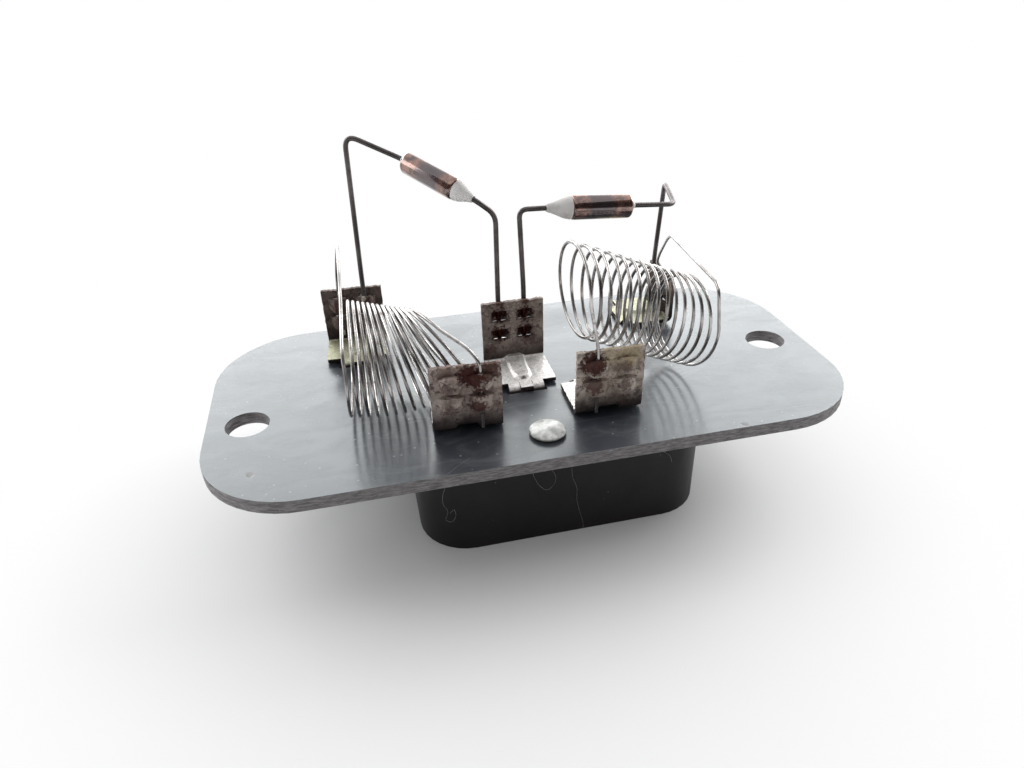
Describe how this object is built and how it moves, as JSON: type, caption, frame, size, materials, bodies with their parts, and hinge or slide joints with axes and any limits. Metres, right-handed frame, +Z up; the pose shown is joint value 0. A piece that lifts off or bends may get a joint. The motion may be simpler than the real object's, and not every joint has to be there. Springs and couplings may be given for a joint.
{
  "type": "blower motor resistor",
  "caption": "Speed resistor for a vehicle cabin blower: open wire coils and thermal cut-offs joined by gripped sheet terminals on an insulating plate over a plug socket.",
  "frame": {"origin": "middle of the plate's outline, on the plane of the connector housing's open rim, which is the resting plane", "axes": "+X along the plate's long side, to the right with the front rivet towards the viewer; +Y towards the rear edge, where both outer rear terminals stand; +Z up, from the connector towards the coils"},
  "size_m": [0.11, 0.0534, 0.057],
  "materials": {
    "laminate": "dark glossy laminate, scuffed",
    "black_plastic": "moulded black plastic",
    "aluminium": "bright, lightly marked",
    "tinned_sheet": "tinned sheet, browned and burnt at the grips",
    "resistance_wire": "drawn wire, heat darkened",
    "lead_wire": "dark brown tarnish",
    "cutoff_case": "lacquered copper brown, worn",
    "seal_resin": "pale cast resin"
  },
  "bodies": {
    "root": {"mounting_plate": "laminate", "connector_housing": "black_plastic", "front_rivet": "aluminium", "rear_rivet": "aluminium", "centre_terminal": "tinned_sheet", "left_front_terminal": "tinned_sheet", "right_front_terminal": "tinned_sheet", "left_rear_terminal": "tinned_sheet", "right_rear_terminal": "tinned_sheet", "left_coil": "resistance_wire", "right_coil": "resistance_wire", "left_cutoff_case": "cutoff_case", "left_cutoff_seal": "seal_resin", "left_cutoff_collar": "seal_resin", "left_cutoff_case_lead": "lead_wire", "left_cutoff_seal_lead": "lead_wire", "right_cutoff_case": "cutoff_case", "right_cutoff_seal": "seal_resin", "right_cutoff_collar": "seal_resin", "right_cutoff_case_lead": "lead_wire", "right_cutoff_seal_lead": "lead_wire"}
  },
  "joints": []
}
